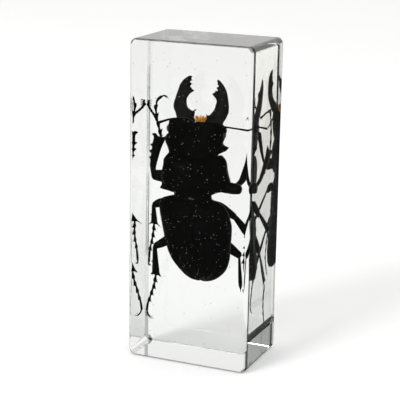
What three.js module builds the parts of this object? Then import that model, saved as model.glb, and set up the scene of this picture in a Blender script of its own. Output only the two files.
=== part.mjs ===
// A clear cast-resin block that a dried beetle is sealed in, standing on its small end.
// Millimetres, +Z up. The origin is the middle of the bottom face, -Y is the viewing face.
// The block is one solid: the beetle is bonded inside it, and nothing comes apart.
import * as THREE from "three";

// Driving dimensions.
const BLOCK = { width: 44, depth: 28, height: 110 };
// The four edges that run front to back are polished rounder than the rims of the two big faces.
const CORNER_RADIUS = 2.2;
const RIM_RADIUS = 1.6;
const CORNER_STEPS = 10;
const RIM_STEPS = 8;

// The upright outline of the block, seen from the front: a rectangle with round corners.
function frontOutline(width, height, radius) {
  const right = width / 2;
  const left = -right;
  const quarter = Math.PI / 2;
  const outline = new THREE.Shape();
  outline.moveTo(left + radius, 0);
  outline.lineTo(right - radius, 0);
  outline.absarc(right - radius, radius, radius, -quarter, 0);
  outline.lineTo(right, height - radius);
  outline.absarc(right - radius, height - radius, radius, 0, quarter);
  outline.lineTo(left + radius, height);
  outline.absarc(left + radius, height - radius, radius, quarter, 2 * quarter);
  outline.lineTo(left, radius);
  outline.absarc(left + radius, radius, radius, 2 * quarter, 3 * quarter);
  return outline;
}

// The outline is carried from front to back, and its two rims are rounded over.
function blockGeometry() {
  const geometry = new THREE.ExtrudeGeometry(
    frontOutline(BLOCK.width, BLOCK.height, CORNER_RADIUS),
    {
      depth: BLOCK.depth - 2 * RIM_RADIUS,
      curveSegments: CORNER_STEPS,
      bevelEnabled: true,
      bevelThickness: RIM_RADIUS,
      bevelSize: RIM_RADIUS,
      bevelOffset: -RIM_RADIUS,
      bevelSegments: RIM_STEPS,
    },
  );
  // The extrusion starts one rim behind its own origin, so this puts its middle there.
  geometry.translate(0, 0, RIM_RADIUS - BLOCK.depth / 2);
  return geometry;
}

// Polished clear resin, with the faint warm grey of a thick casting.
const clearResin = new THREE.MeshStandardMaterial({
  name: "clear_resin",
  color: new THREE.Color(0.93, 0.94, 0.93),
  roughness: 0.05,
  metalness: 0,
  transparent: true,
  opacity: 0.3,
});

const resinBlock = new THREE.Mesh(blockGeometry(), clearResin);
resinBlock.name = "resin_block";
// The outline was drawn lying down: this stands it up, with the viewing face towards -Y.
resinBlock.rotation.x = Math.PI / 2;

const specimenBlock = new THREE.Group();
specimenBlock.add(resinBlock);

export default specimenBlock;
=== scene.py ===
import math

import bmesh
import bpy
import numpy as np
from mathutils import Matrix, Vector, geometry


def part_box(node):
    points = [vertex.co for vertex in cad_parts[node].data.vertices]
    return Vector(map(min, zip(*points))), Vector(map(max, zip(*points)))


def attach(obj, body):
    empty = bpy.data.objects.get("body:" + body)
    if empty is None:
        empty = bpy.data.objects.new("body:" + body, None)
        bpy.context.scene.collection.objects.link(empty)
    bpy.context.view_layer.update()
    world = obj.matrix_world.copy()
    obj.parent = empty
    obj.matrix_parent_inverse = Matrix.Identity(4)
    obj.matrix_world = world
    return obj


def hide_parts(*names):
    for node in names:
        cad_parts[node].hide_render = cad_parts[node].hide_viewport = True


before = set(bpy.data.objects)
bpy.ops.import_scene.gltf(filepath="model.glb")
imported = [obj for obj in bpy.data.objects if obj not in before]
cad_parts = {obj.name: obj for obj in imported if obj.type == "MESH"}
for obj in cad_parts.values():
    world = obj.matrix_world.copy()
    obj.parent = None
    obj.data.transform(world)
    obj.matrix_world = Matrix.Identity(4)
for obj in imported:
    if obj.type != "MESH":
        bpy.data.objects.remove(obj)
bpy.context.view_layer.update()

# ------------------------------------------------------------------ camera
# A long lens, a little above the block and to its right, so that the big face, the right-hand
# side and the top all show. The lens and the distance are those of a product shot on a table.
MM = 0.001
CAMERA_AZIMUTH = math.radians(22.924)
CAMERA_ELEVATION = math.radians(14.784)
CAMERA_ROLL = math.radians(1.018)
CAMERA_DISTANCE = 453.04 * MM
CAMERA_TARGET = Vector((-1.625, 0, 54.336)) * MM
SENSOR_WIDTH = 36
LENS_LENGTH = 119.554

backwards = Vector((
    math.sin(CAMERA_AZIMUTH) * math.cos(CAMERA_ELEVATION),
    -math.cos(CAMERA_AZIMUTH) * math.cos(CAMERA_ELEVATION),
    math.sin(CAMERA_ELEVATION),
))
camera = bpy.data.objects.new("camera", bpy.data.cameras.new("camera"))
camera.data.sensor_width = SENSOR_WIDTH
camera.data.lens = LENS_LENGTH
camera.data.clip_start = 0.01
camera.data.clip_end = 20
aim = (-backwards).to_track_quat("-Z", "Y").to_matrix().to_4x4()
roll = Matrix.Rotation(CAMERA_ROLL, 4, "Z")
camera.matrix_world = Matrix.Translation(CAMERA_TARGET + backwards * CAMERA_DISTANCE) @ aim @ roll
bpy.context.scene.collection.objects.link(camera)
bpy.context.scene.camera = camera

# ------------------------------------------------------------------ floor and light
# A white table top, lit from below a little as a light table is, under a pale sky with one soft
# box in front on the left. Two dark cards on the left, which the camera doesn't see, give the clear
# block its dark edges, and the sky is dim low down towards the front. Glass needs many bounces.
FLOOR_HALF = 6.0
FLOOR_DROP = 0.15 * MM
FRONT_GLOW = (0.07, 0.03, 0.0, 1)
BACK_GLOW = (0.18, 0.18, 0.185, 1)
GLOW_CHANGE_Y = (-0.02, -0.3)
SOFT_BOX_SIZE = 0.5
SOFT_BOX_PLACE = Vector((-0.5, -1.17, 1.0))
SOFT_BOX_POWER = 12.0
DARK_CARD_X = -0.14
DARK_CARDS_Y = [(-0.2, -0.05), (0.035, 0.105)]
DARK_CARD_HEIGHT = 0.13
SKY_ABOVE = 0.79
SKY_BEHIND = 1.12
SKY_IN_FRONT = 0.35
SKY_COLOUR = (1, 0.995, 0.985, 1)

scene = bpy.context.scene
scene.view_settings.view_transform = "Standard"
scene.cycles.max_bounces = 40
scene.cycles.transmission_bounces = 32
scene.cycles.glossy_bounces = 24
scene.cycles.diffuse_bounces = 4
scene.cycles.use_denoising = True


def new_material(name):
    """A material with nodes: its tree, its Principled shader and its output node."""
    material = bpy.data.materials.new(name)
    material.use_nodes = True
    tree = material.node_tree
    tree.nodes.clear()
    output = tree.nodes.new("ShaderNodeOutputMaterial")
    shader = tree.nodes.new("ShaderNodeBsdfPrincipled")
    tree.links.new(shader.outputs["BSDF"], output.inputs["Surface"])
    return material, tree, shader, output


def add_node(tree, kind, links=(), **values):
    """One node of a tree: links are (input, output socket) pairs, values are inputs or settings."""
    node = tree.nodes.new(kind)
    for name, value in values.items():
        if hasattr(node, name):
            setattr(node, name, value)
        else:
            node.inputs[name.replace("_", " ")].default_value = value
    for name, socket in links:
        tree.links.new(socket, node.inputs[name])
    return node


def table_top_finish():
    """Matt white board with the faintest mottling, and a painted glow: even near the block, dimmer and warm
    towards the front.
    """
    material, tree, shader, output = new_material("table_top")
    place = add_node(tree, "ShaderNodeTexCoord")
    mottle = add_node(tree, "ShaderNodeTexNoise", [("Vector", place.outputs["Object"])], Scale=9.0)
    paint = add_node(tree, "ShaderNodeMapRange", [("Value", mottle.outputs["Fac"])], To_Min=0.9, To_Max=0.93)
    tree.links.new(paint.outputs["Result"], shader.inputs["Base Color"])
    shader.inputs["Roughness"].default_value = 0.9
    shader.inputs["Specular IOR Level"].default_value = 0.0
    # Painted glow: the board gives off light of its own, dimmer and warmer towards the front.
    axes = add_node(tree, "ShaderNodeSeparateXYZ", [("Vector", place.outputs["Object"])])
    nearness = add_node(
        tree, "ShaderNodeMapRange", [("Value", axes.outputs["Y"])],
        From_Min=GLOW_CHANGE_Y[0], From_Max=GLOW_CHANGE_Y[1],
    )
    glow = add_node(tree, "ShaderNodeMix", [("Factor", nearness.outputs["Result"])], data_type="RGBA")
    glow.inputs["A"].default_value = BACK_GLOW
    glow.inputs["B"].default_value = FRONT_GLOW
    tree.links.new(glow.outputs["Result"], shader.inputs["Emission Color"])
    shader.inputs["Emission Strength"].default_value = 1.0
    return material


floor_mesh = bpy.data.meshes.new("floor")
floor_corners = [(-1, -1), (1, -1), (1, 1), (-1, 1)]
floor_spots = [(x * FLOOR_HALF, y * FLOOR_HALF, -FLOOR_DROP) for x, y in floor_corners]
floor_mesh.from_pydata(floor_spots, [], [(0, 1, 2, 3)])
floor = bpy.data.objects.new("floor", floor_mesh)
floor_mesh.materials.append(table_top_finish())
scene.collection.objects.link(floor)
floor.visible_glossy = False

card_mesh = bpy.data.meshes.new("dark_cards")
card_corners = []
for near, far in DARK_CARDS_Y:
    for y, z in ((near, 0), (far, 0), (far, DARK_CARD_HEIGHT), (near, DARK_CARD_HEIGHT)):
        card_corners.append((DARK_CARD_X, y, z))
card_mesh.from_pydata(card_corners, [], [(0, 1, 2, 3), (4, 5, 6, 7)])
card_material, card_tree, card_shader, card_output = new_material("dark_cards")
card_place = add_node(card_tree, "ShaderNodeTexCoord").outputs["Object"]
card_weave = add_node(card_tree, "ShaderNodeTexNoise", [("Vector", card_place)], Scale=200.0)
card_paint = add_node(
    card_tree, "ShaderNodeMapRange", [("Value", card_weave.outputs["Fac"])], To_Min=0.01, To_Max=0.03,
)
card_tree.links.new(card_paint.outputs["Result"], card_shader.inputs["Base Color"])
card_mesh.materials.append(card_material)
dark_cards = bpy.data.objects.new("dark_cards", card_mesh)
scene.collection.objects.link(dark_cards)
dark_cards.visible_camera = False
dark_cards.visible_shadow = False
dark_cards.visible_diffuse = False

soft_box_lamp = bpy.data.lights.new("soft_box", "AREA")
soft_box_lamp.size = SOFT_BOX_SIZE
soft_box_lamp.energy = SOFT_BOX_POWER
soft_box = bpy.data.objects.new("soft_box", soft_box_lamp)
soft_box.location = SOFT_BOX_PLACE
soft_box.rotation_euler = (-SOFT_BOX_PLACE).to_track_quat("-Z", "Y").to_euler()
scene.collection.objects.link(soft_box)


def sky():
    """A pale dome for the light, dim low down in front; mirrors see only its back as bright."""
    world = bpy.data.worlds.new("studio")
    world.use_nodes = True
    tree = world.node_tree
    tree.nodes.clear()
    direction = add_node(tree, "ShaderNodeTexCoord")
    axes = add_node(tree, "ShaderNodeSeparateXYZ", [("Vector", direction.outputs["Generated"])])
    far_back = add_node(
        tree, "ShaderNodeMapRange", [("Value", axes.outputs["Y"])],
        From_Min=0.5, From_Max=0.8, To_Min=SKY_ABOVE, To_Max=SKY_BEHIND,
    )
    low_down = add_node(
        tree, "ShaderNodeMapRange", [("Value", axes.outputs["Y"]), ("To Max", far_back.outputs["Result"])],
        From_Min=-0.8, From_Max=-0.1, To_Min=SKY_IN_FRONT,
    )
    raised = add_node(tree, "ShaderNodeMapRange", [("Value", axes.outputs["Z"])], From_Min=0.3, From_Max=0.5)
    seen = add_node(
        tree, "ShaderNodeMix", [("Factor", raised.outputs["Result"]), ("A", low_down.outputs["Result"])],
        B=SKY_ABOVE,
    )
    behind = add_node(
        tree, "ShaderNodeMapRange", [("Value", axes.outputs["Y"])],
        From_Min=0.3, From_Max=0.8, To_Min=0.05, To_Max=1.0,
    )
    upwards = add_node(
        tree, "ShaderNodeMapRange", [("Value", axes.outputs["Z"]), ("To Max", behind.outputs["Result"])],
        From_Min=0.0, From_Max=0.05, To_Min=0.05,
    )
    path = add_node(tree, "ShaderNodeLightPath")
    bounced = add_node(
        tree, "ShaderNodeMath", [(0, path.outputs["Is Glossy Ray"]), (1, path.outputs["Is Reflection Ray"])],
        operation="MULTIPLY",
    )
    seen = add_node(
        tree, "ShaderNodeMix",
        [
            ("Factor", bounced.outputs["Value"]), ("A", seen.outputs["Result"]),
            ("B", upwards.outputs["Result"]),
        ],
    )
    light = add_node(tree, "ShaderNodeBackground", [("Strength", seen.outputs["Result"])], Color=SKY_COLOUR)
    out = add_node(tree, "ShaderNodeOutputWorld")
    tree.links.new(light.outputs["Background"], out.inputs["Surface"])
    return world


scene.world = sky()

# ------------------------------------------------------------------ resin block
# The clear block is cast round the beetle in a mould, then ground flat and polished. The four edges
# that run front to back are rounded, the rims of the two big faces a little less, and the slanting
# parts of the rims have painted shade: the resin's colour is greyed there to draw dark edge lines.
block_low, block_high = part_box("resin_block")
BLOCK_SIZE = block_high - block_low
CORNER_RADIUS = 2.2 * MM
RIM_RADIUS = 1.6 * MM
TOP_RIM_WIDTH = 0.5 * MM
BACK_FOOT_RIM_WIDTH = 0.15 * MM
CORNER_STEPS = 14
RIM_STEPS = 10
RESIN_IOR = 1.56
RESIN_TINT = (0.885, 0.9, 0.885, 1)
RESIN_DENSITY = 30.0
# Painted shade on the rims: how steeply a rim must slant to be greyed, and the grey it is painted.
PAINTED_SHADE_RIM_SLANT = (0.01, 0.13)
PAINTED_SHADE_RIM_GREY = 0.12
RIPPLES_PER_METRE = 60
RIPPLE_HEIGHT = 0.03 * MM


def resin_finish():
    """Polished clear resin: plain glass values, painted shade on the slanting rims, and faint ripples of
    polishing.
    """
    material, tree, shader, output = new_material("clear_resin")
    facing = add_node(tree, "ShaderNodeNewGeometry").outputs["Normal"]
    axes = add_node(tree, "ShaderNodeSeparateXYZ", [("Vector", facing)])
    slant = add_node(
        tree, "ShaderNodeMath", [(0, axes.outputs["Y"]), (1, axes.outputs["Z"])], operation="MULTIPLY",
    )
    slanted = add_node(tree, "ShaderNodeMath", [(0, slant.outputs["Value"])], operation="ABSOLUTE")
    # Painted shade: the resin's colour turns grey where the rims slant, to give the block dark edge lines.
    clear = add_node(
        tree, "ShaderNodeMapRange", [("Value", slanted.outputs["Value"])],
        From_Min=PAINTED_SHADE_RIM_SLANT[0], From_Max=PAINTED_SHADE_RIM_SLANT[1], To_Min=1.0, To_Max=PAINTED_SHADE_RIM_GREY,
    )
    tree.links.new(clear.outputs["Result"], shader.inputs["Base Color"])
    shader.inputs["Transmission Weight"].default_value = 1.0
    shader.inputs["IOR"].default_value = RESIN_IOR
    shader.inputs["Roughness"].default_value = 0.0
    place = add_node(tree, "ShaderNodeTexCoord").outputs["Object"]
    ripple = add_node(tree, "ShaderNodeTexNoise", [("Vector", place)], Scale=RIPPLES_PER_METRE, Detail=2.0)
    bump = add_node(
        tree, "ShaderNodeBump", [("Height", ripple.outputs["Fac"])], Strength=0.6, Distance=RIPPLE_HEIGHT,
    )
    tree.links.new(bump.outputs["Normal"], shader.inputs["Normal"])
    tint = add_node(tree, "ShaderNodeVolumeAbsorption", Color=RESIN_TINT, Density=RESIN_DENSITY)
    tree.links.new(tint.outputs["Volume"], output.inputs["Volume"])
    return material


def resin_block():
    rings, normals = [], []
    half_depth = BLOCK_SIZE.y / 2
    right = BLOCK_SIZE.x / 2 - CORNER_RADIUS
    up = BLOCK_SIZE.z / 2 - CORNER_RADIUS
    middle = (block_low.z + block_high.z) / 2
    for face in (-1, 1):
        steps = range(RIM_STEPS, -1, -1) if face < 0 else range(RIM_STEPS + 1)
        for step in steps:
            turn = math.radians(90) * step / RIM_STEPS
            rise, run = math.sin(turn), math.cos(turn)
            wide = CORNER_RADIUS - RIM_RADIUS * (1 - run)
            y = face * (half_depth - RIM_RADIUS * (1 - rise))
            ring = []
            for quarter, (side, lift) in enumerate([(1, 1), (-1, 1), (-1, -1), (1, -1)]):
                rim = BACK_FOOT_RIM_WIDTH if face > 0 and lift < 0 else TOP_RIM_WIDTH
                high = CORNER_RADIUS - rim * (1 - run)
                for corner_step in range(CORNER_STEPS + 1):
                    angle = math.radians(90) * (quarter + corner_step / CORNER_STEPS)
                    c, d = math.cos(angle), math.sin(angle)
                    ring.append(Vector((side * right + wide * c, y, middle + lift * up + high * d)))
                    slope = high * RIM_RADIUS * c * c + wide * rim * d * d
                    leaning = RIM_RADIUS * run
                    normals.append(Vector((high * leaning * c, face * rise * slope, wide * leaning * d)))
            rings.append(ring)
    count = len(rings[0])
    faces = [tuple(range(count))[::-1], tuple(range((len(rings) - 1) * count, len(rings) * count))]
    for ring in range(len(rings) - 1):
        for i in range(count):
            a, b = ring * count + i, ring * count + (i + 1) % count
            faces.append((a, b, b + count, a + count))
    mesh = bpy.data.meshes.new("clear_block")
    mesh.from_pydata([p for ring in rings for p in ring], [], faces)
    bm = bmesh.new()
    bm.from_mesh(mesh)
    bmesh.ops.recalc_face_normals(bm, faces=bm.faces)
    bm.to_mesh(mesh)
    mesh.shade_smooth()
    mesh.normals_split_custom_set_from_vertices([n.normalized() for n in normals])
    mesh.materials.append(resin_finish())
    block = bpy.data.objects.new("clear_block", mesh)
    scene.collection.objects.link(block)
    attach(block, "root")
    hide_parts("resin_block")
    return block


resin_block()

# ------------------------------------------------------------------ head
# The beetle's head is one hard black capsule, wider than long, hollowed a little between the
# sockets of the jaws, with a spine behind each eye. The dried neck holds it rolled to one side.
HEAD_OUTLINE = [
    (-8.4, 83.5), (-9.8, 83.2), (-10.3, 82.6), (-10.4, 81.6), (-10.6, 80.2), (-10.5, 78.9), (-10.3, 78.3),
    (-11.1, 77.5), (-11.3, 75.6), (-10.6, 74.1), (-9.9, 72.5), (-9.3, 70.3), (-4.7, 69.5), (-0.8, 69.3),
    (3.2, 69.6), (6.5, 70.5), (7.4, 72.3), (8.5, 73.1), (10.0, 73.9), (11.1, 75.2), (9.7, 75.6), (8.8, 76.3),
    (9.2, 77.5), (9.5, 78.6), (9.8, 80.0), (9.9, 81.0), (9.0, 82.0), (7.7, 82.8), (4.7, 83.2), (1.9, 82.5),
    (-1.2, 82.4), (-4.3, 83.8),
]
HEAD_SPINE = 19
HEAD_BACK = 0.62
HEAD_BELLY = 0.85
FINE = 0.34
BODY_ARCH = np.polynomial.Polynomial.fit(
    [26.5, 28.9, 30.9, 32.9, 34.9, 36.9, 40.9, 44.9, 48.9, 52.8, 56.8, 60.8, 65.7, 70.7, 75.7, 80.6, 84.6],
    [5.2, 3.5, 2.3, 1.1, 0.05, -0.95, -2.6, -3.59, -4.38, -4.67, -4.77, -4.36, -3.75, -3.14, -2.33, -1.43,
     -0.62], 6,
)
HEAD_ROLL = 0.12
PITS_PER_METRE = 3600
# Painted sheen: how far a shell surface turns sideways before its colour is painted grey.
PAINTED_SHEEN_TURN = (0.45, 0.05)


def body_depth(x, z):
    """How deep in the block the beetle's side edges lie: its back is arched and its head is rolled."""
    turn = np.clip((z - 56) / 20, 0, 1)
    return BODY_ARCH(z) + HEAD_ROLL * turn * turn * (3 - 2 * turn) * (x + 0.9)


def black_shell_finish(name, pit_depth=0.02, dullness=0.42, shine=0.1, painted_sheen_grey=0.09):
    """Black beetle shell: near black, finely pitted, unevenly dull, with a painted sheen: grey where the
    shell faces sideways.
    """
    material, tree, shader, output = new_material(name)
    place = add_node(tree, "ShaderNodeTexCoord").outputs["Object"]
    cloud = add_node(tree, "ShaderNodeTexNoise", [("Vector", place)], Scale=420.0, Detail=5.0)
    colour = add_node(tree, "ShaderNodeMix", [("Factor", cloud.outputs["Fac"])], data_type="RGBA")
    colour.inputs["A"].default_value = (0.0006, 0.0006, 0.0006, 1)
    colour.inputs["B"].default_value = (0.0028, 0.0025, 0.0023, 1)
    # Painted sheen: the base colour turns grey where the shell faces sideways, away from the front and back.
    facing = add_node(tree, "ShaderNodeNewGeometry").outputs["Normal"]
    sideways = add_node(tree, "ShaderNodeSeparateXYZ", [("Vector", facing)])
    across = add_node(tree, "ShaderNodeMath", [(0, sideways.outputs["Y"])], operation="ABSOLUTE")
    flank = add_node(
        tree, "ShaderNodeMapRange", [("Value", across.outputs["Value"])],
        From_Min=PAINTED_SHEEN_TURN[0], From_Max=PAINTED_SHEEN_TURN[1], interpolation_type="SMOOTHSTEP",
    )
    painted_sheen_colour = add_node(
        tree, "ShaderNodeMix", [("Factor", flank.outputs["Result"]), ("A", colour.outputs["Result"])],
        data_type="RGBA",
    )
    painted_sheen_colour.inputs["B"].default_value = (painted_sheen_grey, painted_sheen_grey, painted_sheen_grey * 0.98, 1)
    tree.links.new(painted_sheen_colour.outputs["Result"], shader.inputs["Base Color"])
    dull = add_node(
        tree, "ShaderNodeMapRange", [("Value", cloud.outputs["Fac"])],
        To_Min=dullness - 0.12, To_Max=dullness + 0.14,
    )
    tree.links.new(dull.outputs["Result"], shader.inputs["Roughness"])
    pits = add_node(tree, "ShaderNodeTexVoronoi", [("Vector", place)], Scale=PITS_PER_METRE)
    floor_of_pit = add_node(tree, "ShaderNodeMapRange", [("Value", pits.outputs["Distance"])], From_Max=0.35)
    bump = add_node(
        tree, "ShaderNodeBump", [("Height", floor_of_pit.outputs["Result"])],
        Strength=0.5, Distance=pit_depth * MM,
    )
    tree.links.new(bump.outputs["Normal"], shader.inputs["Normal"])
    shader.inputs["Specular IOR Level"].default_value = shine
    return material


def smooth_line(points, sharp=(), step=FINE, closed=True):
    """A line through given points in even steps, which turns sharply only at the numbered ones."""
    points = [Vector(p) for p in points]
    count = len(points)
    line = []
    for i in range(count if closed else count - 1):
        here, there = points[i], points[(i + 1) % count]
        before = points[i - 1] if i not in sharp and (closed or i > 0) else 2 * here - there
        free = (i + 1) % count not in sharp and (closed or i + 2 < count)
        after = points[(i + 2) % count] if free else 2 * there - here
        parts = max(1, round((there - here).length / step))
        for part in range(parts):
            t = part / parts
            bend = (2 * before - 5 * here + 4 * there - after) * t
            bend += (3 * here - before - 3 * there + after) * t * t
            line.append(here + 0.5 * t * (there - before + bend))
    return line if closed else line + [points[-1]]


def gaps_to(line, points):
    """How far each point lies from a closed line, and whether it is inside it."""
    start, end = line, np.roll(line, -1, axis=0)
    run = end - start
    offset = points[:, None] - start
    share = np.clip((offset * run).sum(2) / (run ** 2).sum(1), 0, 1)
    gaps = np.sqrt(((offset - share[:, :, None] * run) ** 2).sum(2)).min(1)
    spans = (start[:, 1] > points[:, 1:]) != (end[:, 1] > points[:, 1:])
    slope = run[:, 0] / np.where(run[:, 1] == 0, 1e-9, run[:, 1])
    crossing = start[:, 0] + offset[:, :, 1] * slope
    inside = (spans & (points[:, :1] < crossing)).sum(1) % 2 == 1
    return gaps, inside


def fill_outline(outline, spacing, seam=()):
    """Spreads points evenly inside an outline, closer at its rim, and joins them up as triangles.

    The seam is a line of points that no triangle crosses. Gives points, triangles and rim gaps.
    """
    rim = np.array([tuple(p) for p in outline])
    low, high = rim.min(0), rim.max(0)
    rows = np.arange(low[1], high[1], spacing * math.sqrt(0.75))
    columns = np.arange(low[0], high[0], spacing)
    lattice = [(x + spacing / 2 * (row % 2), z) for row, z in enumerate(rows) for x in columns]
    layers = [(np.array(lattice), 0.62 * spacing)]
    run = np.roll(rim, -1, axis=0) - np.roll(rim, 1, axis=0)
    inward = np.column_stack([-run[:, 1], run[:, 0]]) / np.linalg.norm(run, axis=1)[:, None]
    area = (rim[:, 0] * np.roll(rim[:, 1], -1) - rim[:, 1] * np.roll(rim[:, 0], -1)).sum()
    for gap in (0.07, 0.2, 0.42):
        layers.append((rim + inward * math.copysign(gap * spacing, area), 0.9 * gap * spacing))
    inner = []
    for spots, least in layers:
        gaps, inside = gaps_to(rim, spots)
        inner.append(spots[inside & (gaps > least)])
    inner = np.vstack(inner)
    seam = np.array([tuple(p) for p in seam]).reshape(-1, 2)
    if len(seam):
        apart = np.linalg.norm(inner[:, None] - seam, axis=2).min(1)
        inner = inner[apart > 0.4 * spacing]
    points = np.vstack([rim, seam, inner])
    edges = [(i, (i + 1) % len(rim)) for i in range(len(rim))]
    edges += [(len(rim) + i, len(rim) + i + 1) for i in range(len(seam) - 1)]
    made = geometry.delaunay_2d_cdt([Vector(p) for p in points], edges, [], 1, 1e-5)
    points = np.array([tuple(p) for p in made[0]])
    return points, np.array(made[2]), gaps_to(rim, points)[0]


def open_edges(triangles):
    """The edges that only one triangle has, each in that triangle's own direction."""
    edges = np.vstack([triangles[:, [0, 1]], triangles[:, [1, 2]], triangles[:, [2, 0]]])
    _, first, times = np.unique(np.sort(edges, axis=1), axis=0, return_index=True, return_counts=True)
    return edges[first[times == 1]]


def blown_height(points, triangles):
    """How high a skin blown up over the points would stand: a half circle across a strip."""
    count = len(points)
    pull, load = [], np.zeros(count)
    for turn in range(3):
        a, b, c = (triangles[:, (turn + k) % 3] for k in range(3))
        one, two = points[b] - points[a], points[c] - points[a]
        double_area = np.abs(one[:, 0] * two[:, 1] - one[:, 1] * two[:, 0]) + 1e-9
        pull.append((b, c, 0.5 * (one * two).sum(1) / double_area))
        load += np.bincount(a, double_area / 6, count)
    ends = np.concatenate([p[0] for p in pull] + [p[1] for p in pull])
    others = np.concatenate([p[1] for p in pull] + [p[0] for p in pull])
    weight = np.concatenate([p[2] for p in pull] * 2)
    total = np.bincount(ends, weight, count)
    loose = np.ones(count, bool)
    loose[np.unique(open_edges(triangles))] = False
    height = np.zeros(count)
    left = load * loose
    scaled = left / total
    step = scaled.copy()
    for _ in range(400):
        tension = (total * step - np.bincount(ends, weight * step[others], count)) * loose
        length = (left @ scaled) / (step @ tension)
        height += length * step
        fresh = left - length * tension
        if fresh @ fresh < 1e-12 * (load @ load):
            break
        fresh_scaled = fresh / total
        step = fresh_scaled + step * (fresh @ fresh_scaled) / (left @ scaled)
        left, scaled = fresh, fresh_scaled
    return np.sqrt(2 * np.maximum(height, 0))


def two_sided(points, triangles, back, belly, place):
    """A closed skin: a back sheet and a belly sheet over the same points, with walls where they part."""
    used = np.unique(triangles)
    order = np.zeros(len(points), int)
    order[used] = np.arange(len(used))
    triangles = order[triangles]
    x, z = points[used].T
    corners = np.vstack([place(x, z, back[used]), place(x, z, belly[used])])
    count = len(used)
    faces = triangles.tolist() + (triangles[:, ::-1] + count).tolist()
    for a, b in open_edges(triangles).tolist():
        faces.append((b, a, a + count, b + count))
    return corners, faces


def fixed_piece(name, corners, faces, finish, slot):
    """One smooth closed piece held in the resin, from corners in millimetres."""
    mesh = bpy.data.meshes.new(name)
    mesh.from_pydata([Vector(c) * MM for c in corners], [], faces)
    bm = bmesh.new()
    bm.from_mesh(mesh)
    bmesh.ops.remove_doubles(bm, verts=bm.verts, dist=0.004 * MM)
    bmesh.ops.dissolve_degenerate(bm, edges=bm.edges, dist=0.0005 * MM)
    bmesh.ops.recalc_face_normals(bm, faces=bm.faces)
    bm.to_mesh(mesh)
    bm.free()
    mesh.shade_smooth()
    mesh.materials.append(finish)
    piece = bpy.data.objects.new(name, mesh)
    scene.collection.objects.link(piece)
    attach(piece, "root")
    return piece


def in_body(x, z, depth):
    """Points of the body: depth is counted from its side edges, towards the belly."""
    return np.column_stack([x, body_depth(x, z) + depth, z])


def hollow(x, z, at, size, depth):
    """A shallow dent or swelling of the shell, round a middle point."""
    return depth * np.exp(-((x - at[0]) / size[0]) ** 2 - ((z - at[1]) / size[1]) ** 2)


body_finish = black_shell_finish("black_shell_body", shine=0.02)
points, triangles, gaps = fill_outline(smooth_line(HEAD_OUTLINE, [HEAD_SPINE]), FINE)
height = blown_height(points, triangles)
x, z = points.T
back = -HEAD_BACK * height
back += np.minimum(height, 1) * hollow(x, z, (0.1, 82.1), (3.4, 2.4), 1.3)
back += np.minimum(height, 1) * (
    hollow(x, z, (-8.8, 80.1), (0.7, 2.2), 0.5) + hollow(x, z, (7.6, 79.5), (0.7, 2.2), 0.5)
    + hollow(x, z, (-4.4, 77.7), (2.0, 2.0), -0.35) + hollow(x, z, (3.4, 77.7), (2.0, 2.0), -0.35)
)
belly = HEAD_BELLY * height + np.minimum(height, 1) * hollow(x, z, (-0.6, 76.7), (5.5, 0.5), -0.35)
fixed_piece("head", *two_sided(points, triangles, back, belly, in_body), body_finish, "black_shell")

# ------------------------------------------------------------------ eyes
# Two bulging compound eyes, let into the sides of the head below a shelf of shell. Each is a dark
# brown glassy bead of thousands of tiny lenses; the left one is painted lighter, as if lit through, and
# the right one painted darker, as if in shade.
EYE_PLACES = {"left": (-10.25, -2.3, 79.8), "right": (8.8, -0.6, 79.1)}
EYE_SIZE = (1.0, 1.25, 1.35)
EYE_LENSES_PER_METRE = 9000


def eye_finish(name, light, dark):
    material, tree, shader, output = new_material(name)
    place = add_node(tree, "ShaderNodeTexCoord").outputs["Object"]
    lens = add_node(tree, "ShaderNodeTexVoronoi", [("Vector", place)], Scale=EYE_LENSES_PER_METRE)
    cloud = add_node(tree, "ShaderNodeTexNoise", [("Vector", place)], Scale=900.0)
    colour = add_node(tree, "ShaderNodeMix", [("Factor", cloud.outputs["Fac"])], data_type="RGBA")
    colour.inputs["A"].default_value = light
    colour.inputs["B"].default_value = dark
    tree.links.new(colour.outputs["Result"], shader.inputs["Base Color"])
    bump = add_node(
        tree, "ShaderNodeBump", [("Height", lens.outputs["Distance"])],
        Strength=0.4, Distance=0.02 * MM, invert=True,
    )
    tree.links.new(bump.outputs["Normal"], shader.inputs["Normal"])
    shader.inputs["Roughness"].default_value = 0.25
    return material


def bead(centre, size, rings=14, sides=22):
    """A closed oval bead."""
    corners, faces = [], []
    for ring in range(rings + 1):
        tilt = math.pi * ring / rings
        for side in range(sides):
            turn = 2 * math.pi * side / sides
            spot = (math.sin(tilt) * math.cos(turn), math.sin(tilt) * math.sin(turn), math.cos(tilt))
            corners.append(Vector(c + s * r for c, s, r in zip(centre, spot, size)))
    for ring in range(rings):
        for side in range(sides):
            a, b = ring * sides + side, ring * sides + (side + 1) % sides
            faces.append((a, a + sides, b + sides, b))
    return corners, faces


# Two copies of one eye brown: the left painted lighter as if lit through, the right painted darker as if in
# shade.
eye_finishes = {
    "left": eye_finish("eye_brown_lit", (0.42, 0.13, 0.04, 1), (0.16, 0.045, 0.015, 1)),
    "right": eye_finish("eye_brown_dark", (0.07, 0.022, 0.01, 1), (0.03, 0.012, 0.007, 1)),
}
for side, place in EYE_PLACES.items():
    fixed_piece(f"eye_{side}", *bead(place, EYE_SIZE), eye_finishes[side], "eye_brown")

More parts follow.
